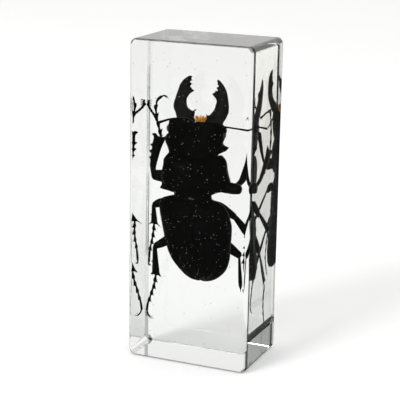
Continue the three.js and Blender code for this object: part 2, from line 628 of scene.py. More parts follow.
# ------------------------------------------------------------------ jaws
# The male's two great horn-hard mandibles curve round like tongs and are hinged in the front of
# the head. Their inner edges carry saw teeth. They sink deeper into the block towards the tips.
LEFT_JAW = [
    (-7.3, 81.2), (-8.6, 83.2), (-9.3, 84.8), (-9.9, 85.7), (-10.3, 86.9), (-10.2, 88.2), (-9.8, 89.7),
    (-9.4, 91.2), (-8.9, 92.7), (-8.5, 94.0), (-7.8, 95.1), (-7.0, 96.0), (-5.9, 96.8), (-4.8, 97.3),
    (-4.0, 97.1), (-4.5, 96.3), (-4.0, 95.8), (-4.6, 95.5), (-4.9, 95.2), (-4.2, 94.7), (-4.3, 94.3),
    (-4.8, 93.9), (-4.7, 93.5), (-4.2, 93.3), (-4.1, 92.9), (-3.1, 92.4), (-4.3, 91.6), (-5.1, 90.7),
    (-5.7, 89.6), (-5.7, 88.5), (-5.5, 87.5), (-5.0, 86.7), (-4.2, 86.2), (-3.3, 85.8), (-2.7, 85.9),
    (-2.3, 85.3), (-2.4, 84.4), (-2.6, 84.0), (-2.3, 83.4), (-1.7, 82.8), (-2.8, 81.4),
]
LEFT_JAW_TEETH = [14, 15, 16, 18, 19, 21, 24, 25, 34]
RIGHT_JAW = [
    (7.3, 81.2), (8.5, 83.3), (9.2, 84.4), (9.6, 85.5), (9.9, 86.5), (9.8, 88.4), (9.3, 90.5), (8.6, 92.5),
    (7.9, 93.8), (6.9, 95.0), (6.1, 95.7), (5.3, 96.3), (4.6, 96.5), (4.4, 96.1), (4.8, 95.5), (4.7, 95.1),
    (5.3, 94.6), (5.1, 94.3), (4.6, 94.0), (4.7, 93.7), (5.2, 93.3), (5.0, 93.0), (4.2, 92.9), (4.3, 92.5),
    (3.3, 91.9), (4.1, 91.2), (4.9, 90.5), (5.3, 89.5), (5.1, 88.6), (4.9, 87.4), (4.3, 86.3), (3.6, 85.4),
    (3.1, 85.0), (2.2, 84.9), (2.1, 84.4), (1.7, 83.7), (2.0, 83.1), (1.8, 82.6), (3.0, 81.4),
]
RIGHT_JAW_TEETH = [12, 14, 16, 18, 20, 22, 23, 24, 33]
JAW_BACK = 0.5
JAW_BELLY = 0.9
JAW_FINE = 0.24
JAW_HINGE_HEIGHT = 82.6
JAW_LENGTH = 15


def left_jaw_place(x, z, depth):
    share = (z - JAW_HINGE_HEIGHT) / JAW_LENGTH
    return np.column_stack([x, 1.2 + 8.0 * share - 4.3 * share * share + depth, z])


def right_jaw_place(x, z, depth):
    share = (z - JAW_HINGE_HEIGHT) / JAW_LENGTH
    return np.column_stack([x, 0.6 + 3.2 * share + 3.7 * share * share + depth, z])


jaw_finish = black_shell_finish("black_shell_jaw", dullness=0.5, shine=0.16)
for name, outline, teeth, place in (
    ("mandible_left", LEFT_JAW, LEFT_JAW_TEETH, left_jaw_place),
    ("mandible_right", RIGHT_JAW, RIGHT_JAW_TEETH, right_jaw_place),
):
    points, triangles, gaps = fill_outline(smooth_line(outline, teeth, step=JAW_FINE), JAW_FINE)
    height = blown_height(points, triangles)
    skin = two_sided(points, triangles, -JAW_BACK * height, JAW_BELLY * height, place)
    fixed_piece(name, *skin, jaw_finish, "black_shell")

# ------------------------------------------------------------------ pronotum
# The broad shield behind the head, one arched plate with a beaded rim, a faint line down the
# middle and a small spine at each hind corner. It wraps under as the breast the forelegs sit in.
PRONOTUM_OUTLINE = [
    (-9.5, 72.0), (-10.5, 71.0), (-11.6, 69.4), (-11.7, 67.9), (-12.1, 65.7), (-12.4, 63.5), (-12.3, 61.8),
    (-12.1, 60.8), (-12.9, 59.3), (-11.9, 59.0), (-9.7, 58.7), (-8.3, 58.4), (-4.7, 57.9), (-0.8, 57.7),
    (2.7, 58.0), (5.7, 58.7), (8.0, 59.8), (9.8, 60.2), (11.4, 60.1), (12.4, 61.2), (12.7, 62.6),
    (12.4, 64.0), (11.8, 65.6), (11.3, 66.9), (10.9, 68.5), (10.8, 69.5), (10.4, 70.5), (9.9, 71.3),
    (9.3, 71.9), (8.5, 72.4), (6.3, 72.1), (3.2, 72.7), (-0.8, 73.0), (-4.7, 72.6), (-7.9, 71.9),
]
PRONOTUM_SPINE = 8
PRONOTUM_BACK = 0.72
PRONOTUM_BELLY = 0.92
RIM_GROOVE = 0.75

points, triangles, gaps = fill_outline(smooth_line(PRONOTUM_OUTLINE, [PRONOTUM_SPINE]), FINE)
height = blown_height(points, triangles)
x, z = points.T
back = -PRONOTUM_BACK * height + 0.12 * np.exp(-((gaps - RIM_GROOVE) / 0.22) ** 2)
back += 0.14 * np.exp(-((x + 0.8) / 0.35) ** 2) * np.clip(gaps - 1, 0, 1)
back += np.minimum(gaps, 1) * (
    hollow(x, z, (-8.2, 64.8), (1.5, 1.8), 0.3) + hollow(x, z, (7.0, 64.8), (1.5, 1.8), 0.3)
)
belly = PRONOTUM_BELLY * height + np.minimum(gaps, 1) * (
    hollow(x, z, (-5.0, 62.6), (2.2, 1.4), -0.8) + hollow(x, z, (3.7, 62.6), (2.2, 1.4), -0.8)
    + hollow(x, z, (-0.6, 61.6), (0.8, 2.6), 0.6)
)
fixed_piece("pronotum", *two_sided(points, triangles, back, belly, in_body), body_finish, "black_shell")

# ------------------------------------------------------------------ waist and neck
# The narrow soft-jointed rings that the shield, the head and the hind body turn on, seen only as
# the dark necks between the plates.
RING_SIDES = 28


def rod(path, thickness=0.8, across=(1, 0, 0), sides=14, step=0.3):
    """A round-ended rod through (x, y, z, half width) points, flattened to a share of its width.

    Its width lies along the across direction as nearly as it can.
    """
    stations = smooth_line(path, step=step, closed=False)
    middles = [s.xyz for s in stations]
    widths = [max(s.w, 0.01) for s in stations]
    rings = []
    for end, sweep in ((0, (20, 45, 70)), (None, ()), (-1, (70, 45, 20))):
        if end is None:
            rings += [(i, 0, 1) for i in range(len(stations))]
        else:
            sign = -1 if end == 0 else 1
            rings += [(end, sign * math.cos(math.radians(a)), math.sin(math.radians(a))) for a in sweep]
    corners, faces = [], []
    for index, shift, share in rings:
        i = index % len(stations)
        ahead = (middles[min(i + 1, len(middles) - 1)] - middles[max(i - 1, 0)]).normalized()
        wide = (Vector(across) - ahead * ahead.dot(Vector(across))).normalized()
        deep = ahead.cross(wide) * thickness
        centre = middles[i] + ahead * shift * widths[i] * thickness
        for side in range(sides):
            turn = 2 * math.pi * side / sides
            corners.append(centre + (wide * math.cos(turn) + deep * math.sin(turn)) * widths[i] * share)
    for ring in range(len(rings) - 1):
        for side in range(sides):
            a, b = ring * sides + side, ring * sides + (side + 1) % sides
            faces.append((a, b, b + sides, a + sides))
    last = (len(rings) - 1) * sides
    faces += [tuple(range(sides))[::-1], tuple(range(last, last + sides))]
    return corners, faces


def together(parts):
    """Several closed skins as the corners and faces of one piece."""
    corners, faces = [], []
    for part_corners, part_faces in parts:
        faces += [tuple(i + len(corners) for i in face) for face in part_faces]
        corners += list(part_corners)
    return corners, faces


waist = [
    (-0.4, -4.1, 50.9, 8.87), (-0.6, -4.6, 55.8, 7.19), (-0.8, -4.4, 58.8, 6.8), (-0.7, -3.9, 62.8, 7.09),
]
fixed_piece("waist", *rod(waist, thickness=0.48, sides=RING_SIDES), body_finish, "black_shell")
neck = [
    (-0.7, -3.6, 66.7, 6.89), (-0.9, -3.0, 70.7, 7.78), (-0.9, -2.6, 73.7, 7.49), (-0.8, -2.0, 76.6, 6.89),
]
fixed_piece("neck", *rod(neck, thickness=0.42, sides=RING_SIDES), body_finish, "black_shell")

# ------------------------------------------------------------------ wing cases
# The two hard elytra meet in a straight seam down the back and end in rounded tips with a notch
# between them. Each is a thin curved shell with a rolled rim, and they close over the hind body.
ELYTRA_OUTLINE = [
    (0.4, 26.9), (-0.1, 26.5), (-1.7, 26.5), (-3.5, 27.0), (-5.3, 28.3), (-6.9, 30.2), (-8.2, 32.0),
    (-9.2, 33.7), (-9.9, 35.5), (-10.5, 37.5), (-11.2, 41.4), (-11.7, 45.0), (-12.2, 48.1), (-12.7, 50.8),
    (-12.9, 53.0), (-12.7, 54.9), (-11.8, 56.0), (-10.2, 56.7), (-7.2, 57.6), (-3.2, 58.1), (-0.1, 58.2),
    (3.6, 58.0), (7.1, 57.3), (9.7, 56.3), (11.2, 55.0), (12.3, 53.2), (13.0, 51.2), (13.5, 49.1),
    (13.5, 46.9), (13.3, 44.6), (12.9, 41.9), (12.6, 38.8), (12.1, 36.3), (11.3, 34.0), (10.1, 31.8),
    (8.2, 29.7), (5.9, 27.9), (3.8, 26.9), (2.1, 26.5), (0.9, 26.5),
]
SEAM = [(0.4, 26.9), (0.8, 34.9), (0.6, 42.9), (0.3, 50.8), (-0.1, 58.2)]
ELYTRA_BACK = 0.51
SHELL_THICKNESS = 0.45
SEAM_GROOVE = 0.1

seam = smooth_line(SEAM, closed=False)
points, triangles, gaps = fill_outline(smooth_line(ELYTRA_OUTLINE, [0]), FINE, seam[1:-1])
height = blown_height(points, triangles)
x, z = points.T
seam_x = np.interp(z, [p[1] for p in seam], [p[0] for p in seam])
back = -ELYTRA_BACK * height + 0.1 * np.exp(-((gaps - 0.6) / 0.2) ** 2)
back += SEAM_GROOVE * np.exp(-((x - seam_x) / 0.14) ** 2) * np.clip(gaps, 0, 1)
back += 0.03 * np.cos((x - seam_x) / (1.1 + 0.02 * (z - 25)) * math.pi) * np.clip(gaps - 1, 0, 1)
inside = np.minimum(back + SHELL_THICKNESS, 0.02)
inside = np.maximum(inside, back)
middle = points[triangles].mean(1)
middle_seam = np.interp(middle[:, 1], [p[1] for p in seam], [p[0] for p in seam])
for side, mine in (("left", middle[:, 0] < middle_seam), ("right", middle[:, 0] >= middle_seam)):
    skin = two_sided(points, triangles[mine], back, inside, in_body)
    fixed_piece(f"elytron_{side}", *skin, body_finish, "black_shell")

# ------------------------------------------------------------------ scutellum
# The small three-cornered plate wedged between the wing cases behind the shield, with a few worn
# brown hairs at its foot.
scutellum = [(-1.3, 58.7), (0.9, 58.7), (1.1, 57.8), (0.3, 56.0), (-0.1, 55.7), (-0.5, 56.0), (-1.4, 57.8)]
SCUTELLUM_DEPTH = -3.2
points, triangles, gaps = fill_outline(smooth_line(scutellum, [4], step=0.2), 0.2)
height = blown_height(points, triangles)


def on_seam(x, z, depth):
    return np.column_stack([x, BODY_ARCH(z) + SCUTELLUM_DEPTH + 0.35 * (z - 56.3) + depth, z])


skin = two_sided(points, triangles, -0.45 * height, 0.5 * height, on_seam)
fixed_piece("scutellum", *skin, body_finish, "black_shell")
worn_hairs = eye_finish("worn_brown_hairs", (0.3, 0.12, 0.04, 1), (0.03, 0.012, 0.006, 1))
fixed_piece("scutellum_hairs", *bead((-0.8, -7.95, 57.4), (0.75, 0.15, 0.3)), worn_hairs, "amber_bristle")

# ------------------------------------------------------------------ underside
# The breast and the belly below the wing cases: the breast plate with the sockets of the middle
# and hind legs, and behind it five overlapping belly plates. All are black, pitted and dull.
BELLY_PLATES = 5
BELLY_FRONT = 45.3
BELLY_TAIL = 27.4
BELLY_DEPTH = 0.66

belly_finish = black_shell_finish("black_shell_belly", pit_depth=0.035, dullness=0.5)
middle_x = 0.3
belly_outline = [
    ((px - middle_x) * 0.95 + middle_x, (pz - 42.8) * 0.96 + 42.8) for px, pz in ELYTRA_OUTLINE[1:]
]
points, triangles, gaps = fill_outline(smooth_line(belly_outline), FINE)
height = blown_height(points, triangles)
x, z = points.T
pitch = (BELLY_FRONT - BELLY_TAIL) / BELLY_PLATES
bowed = z - 0.035 * (x - middle_x) ** 2 * 0.3
steps = np.clip((BELLY_FRONT - bowed) / pitch, 0, BELLY_PLATES)
shingle = 0.28 * (steps - np.floor(steps)) ** 2 * (bowed < BELLY_FRONT) * np.minimum(height / 2, 1)
breast = z > BELLY_FRONT
belly = BELLY_DEPTH * height + shingle
belly += np.minimum(height, 1) * breast * (
    0.45 - 0.5 * np.exp(-((x - 0.1) / 0.3) ** 2)
    + hollow(x, z, (-4.7, 53.4), (2.6, 1.5), -1.0) + hollow(x, z, (5.1, 53.4), (2.6, 1.5), -1.0)
    + hollow(x, z, (-4.7, 46.5), (3.6, 1.0), -0.9) + hollow(x, z, (5.1, 46.5), (3.6, 1.0), -0.9)
)
back = -0.3 * ELYTRA_BACK * height
skin = two_sided(points, triangles, back, belly, in_body)
fixed_piece("abdomen_and_breast", *skin, belly_finish, "black_shell")

# ------------------------------------------------------------------ legs
# Six jointed legs reach sideways and back towards the rear face. Each is a stout thigh, a shin that
# widens to toothed tips with spurs, five foot joints and a pair of hooked claws.

# Of each leg: the thigh's (x, y, z, half width) points, the knee, the ankle, the direction the
# shin's outer edge faces, the foot's line from ankle to claw joint, and the claws' curve.
LEGS = {
    "fore_left": dict(
        thigh=[
            (-3.7, -0.7, 62.1, 1.28), (-8.9, -0.4, 62.8, 1.9),
            (-13.1, 0.3, 62.7, 2.13), (-16.0, 0.5, 62.7, 1.85),
        ],
        knee=(-16.7, 0.6, 61.5), ankle=(-16.7, 7.6, 75.7), outer=(-1, 0, 0), breadth=1.12,
        foot=[(-16.1, 8.2, 75.0), (-16.8, 7.9, 78.0), (-17.6, 7.8, 81.2), (-18.0, 7.8, 84.0)],
        claw_joint=[(-18.0, 7.8, 83.6), (-17.8, 7.7, 86.7), (-17.1, 7.6, 88.1), (-16.0, 7.5, 89.0)],
        claws=[(-15.8, 7.5, 89.1), (-14.8, 7.4, 89.5), (-13.9, 7.3, 89.1), (-13.4, 7.2, 88.5)],
    ),
    "mid_left": dict(
        thigh=[
            (-3.7, -0.5, 52.8, 1.18), (-9.3, -1.2, 54.1, 1.58),
            (-13.1, -1.4, 53.6, 1.58), (-15.4, -1.6, 52.7, 1.15),
        ],
        knee=(-15.9, -1.7, 52.9), ankle=(-18.2, 8.0, 44.1), outer=(-1, 0, 0), breadth=1.05,
        foot=[(-18.3, 8.0, 44.1), (-18.4, 7.3, 41.3), (-18.7, 6.8, 38.6), (-19.2, 6.7, 36.2)],
        claw_joint=[(-19.2, 6.7, 36.4), (-19.6, 6.7, 33.2), (-19.8, 6.8, 30.5)],
        claws=[(-19.8, 6.8, 30.5), (-19.9, 6.8, 29.5), (-19.4, 6.8, 29.0), (-18.8, 6.8, 29.3)],
    ),
    "hind_left": dict(
        thigh=[
            (-3.7, 0.1, 45.8, 1.18), (-8.4, 0.1, 42.4, 1.6),
            (-12.4, -0.3, 39.5, 1.55), (-15.0, -0.8, 38.0, 1.15),
        ],
        knee=(-15.5, -1.0, 38.0), ankle=(-17.4, 8.1, 25.6), outer=(-1, 0, 0), breadth=1.25,
        foot=[(-17.5, 8.1, 25.4), (-18.0, 8.4, 22.7), (-18.9, 8.8, 19.8), (-19.8, 8.8, 17.0)],
        claw_joint=[(-19.7, 8.8, 17.3), (-20.6, 8.8, 14.5), (-21.0, 8.8, 12.1)],
        claws=[(-21.0, 8.8, 12.1), (-20.5, 8.8, 10.5), (-19.4, 8.8, 9.3), (-18.0, 8.8, 9.4)],
    ),
    "fore_right": dict(
        thigh=[
            (3.2, -1.2, 61.9, 1.28), (8.1, -2.9, 62.3, 1.87),
            (12.2, -4.1, 62.0, 2.02), (15.4, -4.4, 62.0, 1.8),
        ],
        knee=(14.3, -3.2, 61.9), ankle=(18.2, 6.2, 73.3), outer=(0.6, 0.8, 0), breadth=1.15,
        foot=[(18.2, 6.2, 73.2), (18.5, 6.3, 77.0), (18.7, 5.9, 81.0), (18.8, 5.2, 84.3)],
        claw_joint=[(18.8, 5.3, 84.1), (18.7, 4.2, 86.1), (18.3, 1.8, 86.5), (17.9, -0.2, 86.0)],
        claws=[(17.9, -0.2, 86.0), (17.7, -1.2, 85.9), (17.5, -2.0, 85.4), (17.4, -2.4, 84.6)],
    ),
    "mid_right": dict(
        thigh=[
            (3.7, -0.2, 54.9, 1.4), (7.6, 0.2, 54.4, 1.75),
            (10.8, 0.6, 52.8, 1.55), (12.9, 0.9, 51.6, 1.2),
        ],
        knee=(12.7, 1.0, 52.0), ankle=(17.2, 7.5, 44.5), outer=(0.9, 0, 0.4), breadth=1.5,
        foot=[(17.1, 7.4, 44.5), (16.4, 6.9, 41.7), (16.0, 6.6, 39.0), (15.8, 6.3, 36.2)],
        claw_joint=[(15.8, 6.3, 36.4), (15.8, 6.6, 33.2), (16.1, 7.2, 30.6)],
        claws=[(16.1, 7.2, 30.6), (16.2, 7.6, 29.3), (16.5, 8.1, 28.5), (17.0, 8.4, 28.7)],
    ),
    "hind_right": dict(
        thigh=[
            (3.7, 0.1, 45.8, 1.18), (8.1, 0.8, 43.0, 1.72),
            (12.0, 0.9, 40.3, 1.77), (15.0, 0.7, 38.5, 1.33),
        ],
        knee=(15.2, 0.7, 38.5), ankle=(14.6, 6.9, 25.8), outer=(0.25, -1, 0), breadth=1.1,
        foot=[(15.9, 6.2, 24.9), (17.5, 4.4, 22.4), (17.9, 3.9, 19.5), (18.0, 4.1, 16.8)],
        claw_joint=[(18.0, 4.1, 17.0), (18.2, 4.6, 13.8), (18.4, 5.2, 11.4)],
        claws=[(18.4, 5.2, 11.4), (18.5, 5.6, 10.2), (18.7, 6.1, 9.4), (18.9, 6.5, 9.6)],
    ),
}
FORE_SHIN = [
    (0.2, -0.75), (1.2, 0.75), (3.1, 1.35), (5.0, 1.75), (7.0, 1.85), (8.2, 2.4), (8.5, 1.9), (9.6, 1.9),
    (10.6, 2.65), (11.2, 1.8), (12.2, 1.85), (13.2, 2.7), (13.5, 1.85), (14.9, 1.7), (16.2, 1.7),
    (17.4, 2.5), (17.7, 1.2), (16.7, 0.2), (16.5, -1.4), (17.0, -2.2), (15.6, -2.2), (13.4, -1.6),
    (11.3, -1.15), (8.1, -0.75), (6.1, -0.5), (3.7, -0.4), (1.4, -0.9),
]
FORE_SHIN_TEETH = [5, 6, 8, 9, 11, 12, 15, 19]
FORE_SHIN_LENGTH = 17.1
WALKING_SHIN = [
    (-0.2, 0.0), (0.3, 0.55), (2.0, 0.72), (5.0, 0.86), (6.3, 0.95), (6.9, 1.35), (7.1, 0.98), (9.0, 1.1),
    (11.2, 1.2), (12.5, 1.75), (12.1, 0.75), (12.2, 0.0), (12.1, -0.75), (12.5, -1.7), (11.2, -1.15),
    (9.0, -1.05), (5.0, -0.82), (2.0, -0.68), (0.3, -0.55),
]
WALKING_SHIN_TEETH = [5, 9, 13]
WALKING_SHIN_LENGTH = 12.2
SHIN_FINE = 0.22
SPUR_LENGTH = {"fore": 0.9, "mid": 2.3, "hind": 1.2}

leg_finish = black_shell_finish("black_shell_leg", pit_depth=0.015, dullness=0.38, shine=0.05)


def shin(leg, kind):
    """The toothed shin, cut to its outline between the knee and the ankle, and its spurs."""
    knee, ankle = Vector(leg["knee"]), Vector(leg["ankle"])
    down = (ankle - knee).normalized()
    outer = Vector(leg["outer"])
    outer = (outer - down * down.dot(outer)).normalized()
    flat = down.cross(outer)
    outline, teeth, length = {
        "fore": (FORE_SHIN, FORE_SHIN_TEETH, FORE_SHIN_LENGTH),
    }.get(kind, (WALKING_SHIN, WALKING_SHIN_TEETH, WALKING_SHIN_LENGTH))
    stretch = (ankle - knee).length / length
    outline = [(u * stretch, v * leg["breadth"]) for u, v in outline]
    points, triangles, gaps = fill_outline(smooth_line(outline, teeth, step=SHIN_FINE), SHIN_FINE)
    height = blown_height(points, triangles) * 0.62

    def place(u, v, depth):
        axes = np.array([tuple(down), tuple(outer), tuple(flat)])
        return np.array(tuple(knee)) + np.column_stack([u, v, depth]) @ axes

    parts = [two_sided(points, triangles, -height, height, place)]
    tip = (ankle - knee).length
    for side in (1, -1):
        root = knee + down * (tip - 0.4) + outer * 0.8 * side
        point = root + down * SPUR_LENGTH[kind] + outer * SPUR_LENGTH[kind] * 0.75 * side
        bow = (root + point) / 2 - down * 0.12 + outer * side * 0.1
        parts.append(rod([(*root, 0.22), (*bow, 0.16), (*point, 0.03)], sides=8))
    return together(parts)


def foot_joint():
    """One short foot joint, a unit long along Z, flaring to a barbed sole on its +X side."""
    stem = [(0, 0, -0.15, 0.15), (0, 0, 0.35, 0.2), (0.02, 0, 0.8, 0.31), (0.03, 0, 0.98, 0.26)]
    body = rod(stem, 0.9, step=0.14, sides=8)
    barb = rod([(0.14, 0, 0.7, 0.15), (0.32, 0, 0.95, 0.1), (0.48, 0, 1.22, 0.02)], 0.9, step=0.2, sides=6)
    corners, faces = together([body, barb])
    mesh = bpy.data.meshes.new("foot_joint")
    mesh.from_pydata([Vector(c) for c in corners], [], faces)
    mesh.shade_smooth()
    return bpy.data.objects.new("foot_joint", mesh)


def started_tree(name, inputs):
    """A Geometry Nodes tree with named inputs: gives it, its inputs' identifiers and their sockets."""
    tree = bpy.data.node_groups.new(name, "GeometryNodeTree")
    tree.is_modifier = True
    identifiers = {}
    for label, kind in inputs.items():
        socket = tree.interface.new_socket(label, in_out="INPUT", socket_type=f"NodeSocket{kind}")
        identifiers[label] = socket.identifier
    return tree, identifiers, tree.nodes.new("NodeGroupInput").outputs


def finish_tree(tree, instances, finish):
    """Makes a tree's instances real mesh, gives them their material and sends them out."""
    tree.interface.new_socket("Made", in_out="OUTPUT", socket_type="NodeSocketGeometry")
    real = add_node(tree, "GeometryNodeRealizeInstances", [("Geometry", instances)])
    done = add_node(
        tree, "GeometryNodeSetMaterial", [("Geometry", real.outputs["Geometry"]), ("Material", finish)],
    )
    out = tree.nodes.new("NodeGroupOutput")
    tree.links.new(done.outputs["Geometry"], out.inputs["Made"])


def strung_joints():
    """Geometry Nodes: strings copies of a joint along a line, each turned and sized to its place."""
    tree, identifiers, given = started_tree("strung_joints", {
        "Line": "Geometry", "Joint": "Object", "Finish": "Material", "Count": "Int",
        "First size": "Float", "Last size": "Float", "Sole side": "Vector",
    })
    curve = add_node(tree, "GeometryNodeMeshToCurve", [("Mesh", given["Line"])])
    even = add_node(
        tree, "GeometryNodeResampleCurve", [("Curve", curve.outputs["Curve"]), ("Count", given["Count"])],
    )
    tangent = add_node(tree, "GeometryNodeInputTangent").outputs["Tangent"]
    along = add_node(tree, "FunctionNodeAlignRotationToVector", [("Vector", tangent)], axis="Z")
    turned = add_node(
        tree, "FunctionNodeAlignRotationToVector",
        [("Rotation", along.outputs["Rotation"]), ("Vector", given["Sole side"])], axis="X", pivot_axis="Z",
    )
    share = add_node(tree, "GeometryNodeSplineParameter")
    size = add_node(
        tree, "ShaderNodeMapRange",
        [("Value", share.outputs["Factor"]), ("To Min", given["First size"]), ("To Max", given["Last size"])],
    )
    shape = add_node(tree, "GeometryNodeObjectInfo", [("Object", given["Joint"])])
    strung = add_node(
        tree, "GeometryNodeInstanceOnPoints",
        [
            ("Points", even.outputs["Curve"]), ("Instance", shape.outputs["Geometry"]),
            ("Rotation", turned.outputs["Rotation"]), ("Scale", size.outputs["Result"]),
        ],
    )
    finish_tree(tree, strung.outputs["Instances"], given["Finish"])
    return tree, identifiers


def grown(name, carrier_mesh, tree, identifiers, values):
    """Runs a Geometry Nodes tree on a mesh once and keeps the result as a plain fixed piece."""
    carrier = bpy.data.objects.new(name, carrier_mesh)
    scene.collection.objects.link(carrier)
    modifier = carrier.modifiers.new(tree.name, "NODES")
    modifier.node_group = tree
    for key, value in values.items():
        modifier[identifiers[key]] = value
    bpy.context.view_layer.update()
    graph = bpy.context.evaluated_depsgraph_get()
    mesh = bpy.data.meshes.new_from_object(carrier.evaluated_get(graph))
    carrier.modifiers.remove(modifier)
    carrier.data = mesh
    mesh.name = name
    mesh.shade_smooth()
    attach(carrier, "root")
    return carrier


def line_mesh(points):
    """Points in millimetres joined by edges, for a tree to follow."""
    mesh = bpy.data.meshes.new("line")
    spots = [Vector(p) * MM for p in smooth_line(points, closed=False)]
    mesh.from_pydata(spots, [(i, i + 1) for i in range(len(spots) - 1)], [])
    return mesh


def claw_joint_and_claws(leg):
    """The long last foot joint, thickest at its end, and its two hooked claws."""
    path = leg["claw_joint"]
    widths = np.interp(np.linspace(0, 1, len(path)), [0, 0.3, 0.8, 1], [0.26, 0.33, 0.55, 0.48])
    parts = [rod([(*p, w) for p, w in zip(path, widths)], sides=10)]
    hook = [Vector(p) for p in leg["claws"]]
    spread = (hook[1] - hook[0]).cross(hook[-1] - hook[1]).normalized() * 0.42
    for side, reach in ((1, 1.0), (-1, 0.82)):
        bent = [(*(hook[0] + (p - hook[0]) * reach + spread * side * i / 3), w)
                for i, (p, w) in enumerate(zip(hook, (0.28, 0.25, 0.17, 0.04)))]
        parts.append(rod(bent, sides=8, step=0.2))
    return together(parts)


joint_shape = foot_joint()
joint_tree, joint_inputs = strung_joints()
for name, leg in LEGS.items():
    kind = name.split("_")[0]
    thigh = leg["thigh"]
    start, further = Vector(thigh[0][:3]), Vector(thigh[1][:3])
    hip = [(*start - Vector((0, 0.9, 0)), 1.5), (*start, 1.35), (*start.lerp(further, 0.35), 1.1)]
    fixed_piece(f"hip_{name}", *rod(hip, thickness=0.9, across=(0, 0, 1)), leg_finish, "black_shell")
    thigh_skin = rod(thigh, thickness=0.8, across=(0, 0, 1), sides=18)
    fixed_piece(f"thigh_{name}", *thigh_skin, leg_finish, "black_shell")
    fixed_piece(f"shin_{name}", *shin(leg, kind), leg_finish, "black_shell")
    foot = leg["foot"]
    length = sum((Vector(a) - Vector(b)).length for a, b in zip(foot, foot[1:]))
    pitch = length / 4
    last = Vector(foot[-1]) + (Vector(foot[-2]) - Vector(foot[-1])) * 0.2
    grown(
        f"foot_{name}", line_mesh([*foot[:-1], last]), joint_tree, joint_inputs,
        {
            "Joint": joint_shape, "Finish": leg_finish, "Count": 4, "First size": 1.05 * pitch * MM,
            "Last size": 0.95 * pitch * MM, "Sole side": (math.copysign(1, -foot[0][0]), 0.3, 0),
        },
    )
    fixed_piece(f"claws_{name}", *claw_joint_and_claws(leg), leg_finish, "black_shell")

# ------------------------------------------------------------------ antennae
# Elbowed feelers: a long stalk from the front of the head, a chain of small beads, and a comb of
# four flat leaves at the end that the beetle smells with.
ANTENNAE = {
    "left": dict(
        stalk=[
            (-8.3, -0.5, 82.8, 0.45), (-11.2, 1.7, 82.3, 0.42),
            (-14.3, 4.3, 81.1, 0.48), (-16.7, 5.9, 80.1, 0.58),
        ],
        beads=[(-17.1, 6.2, 80.5), (-18.5, 7.3, 82.4), (-20.0, 8.3, 83.9), (-20.8, 8.8, 84.9)],
        club=[(-20.9, 8.8, 85.0), (-21.3, 8.9, 87.0)], leaf_side=(1, -0.1, 0.3),
    ),
    "right": dict(
        stalk=[
            (8.7, -0.2, 81.8, 0.41), (12.0, 0.3, 81.6, 0.35),
            (15.4, 1.1, 81.3, 0.41), (18.2, 2.4, 80.9, 0.49),
        ],
        beads=[(18.6, 3.0, 81.1), (18.9, 4.6, 81.9), (19.2, 6.4, 83.3), (19.3, 7.4, 84.4)],
        club=[(19.4, 7.5, 84.5), (19.5, 8.4, 86.3)], leaf_side=(-0.8, 0.6, 0.3),
    ),
}
BEAD_COUNT = 6
LEAF_COUNT = 4


def bead_joint():
    """One bead of the chain, a unit long along Z, cup shaped."""
    corners, faces = rod([(0, 0, -0.1, 0.2), (0, 0, 0.4, 0.36), (0, 0, 0.9, 0.42)], 1.0, step=0.2, sides=8)
    mesh = bpy.data.meshes.new("bead_joint")
    mesh.from_pydata([Vector(c) for c in corners], [], faces)
    mesh.shade_smooth()
    return bpy.data.objects.new("bead_joint", mesh)


bead_shape = bead_joint()
for side, feeler in ANTENNAE.items():
    fixed_piece(f"antenna_stalk_{side}", *rod(feeler["stalk"], sides=12), leg_finish, "black_shell")
    beads = feeler["beads"]
    pitch = sum((Vector(a) - Vector(b)).length for a, b in zip(beads, beads[1:])) / BEAD_COUNT
    grown(
        f"antenna_beads_{side}", line_mesh(beads), joint_tree, joint_inputs,
        {
            "Joint": bead_shape, "Finish": leg_finish, "Count": BEAD_COUNT, "First size": pitch * MM,
            "Last size": 1.15 * pitch * MM, "Sole side": (0, 1, 0),
        },
    )
    start, end = (Vector(p) for p in feeler["club"])
    leaf_side = Vector(feeler["leaf_side"]).normalized()
    leaves = [rod([(*start, 0.3), (*start.lerp(end, 0.5), 0.42), (*end, 0.4)], sides=10)]
    for leaf in range(LEAF_COUNT):
        root = start.lerp(end, 0.12 + 0.88 * leaf / (LEAF_COUNT - 1))
        reach = 1.0 + 0.12 * leaf
        tip = root + leaf_side * reach
        middle = root.lerp(tip, 0.6)
        leaf_path = [(*root, 0.3), (*middle, 0.34), (*tip, 0.2)]
        leaves.append(rod(leaf_path, 0.4, (0, 1, 0.2), sides=10, step=0.2))
    fixed_piece(f"antenna_club_{side}", *together(leaves), leg_finish, "black_shell")

# ------------------------------------------------------------------ mouth
# Between the jaws: a small black lip, a palp on each side, and the brush of amber bristles that
# the beetle laps sap with, its hairs yellow with darker brown strands among them.
BRUSH_ROOT = (0.4, 0.3, 81.9)
TUFTS = [(-0.75, -0.45), (-0.45, -0.27), (-0.12, -0.08), (0.22, 0.1), (0.55, 0.3), (0.9, 0.48)]
TUFT_HALF_WIDTH = 0.23
BRISTLES_PER_TUFT = 24
BRISTLE_LENGTH = 3.1
SHORTEST_HAIR = 0.65
HAIR_WIDTH = 0.12
HAIR_TIP_WIDTH = 0.04
HAIR_LEAN = 0.13
TUFT_STRETCH = 1.3

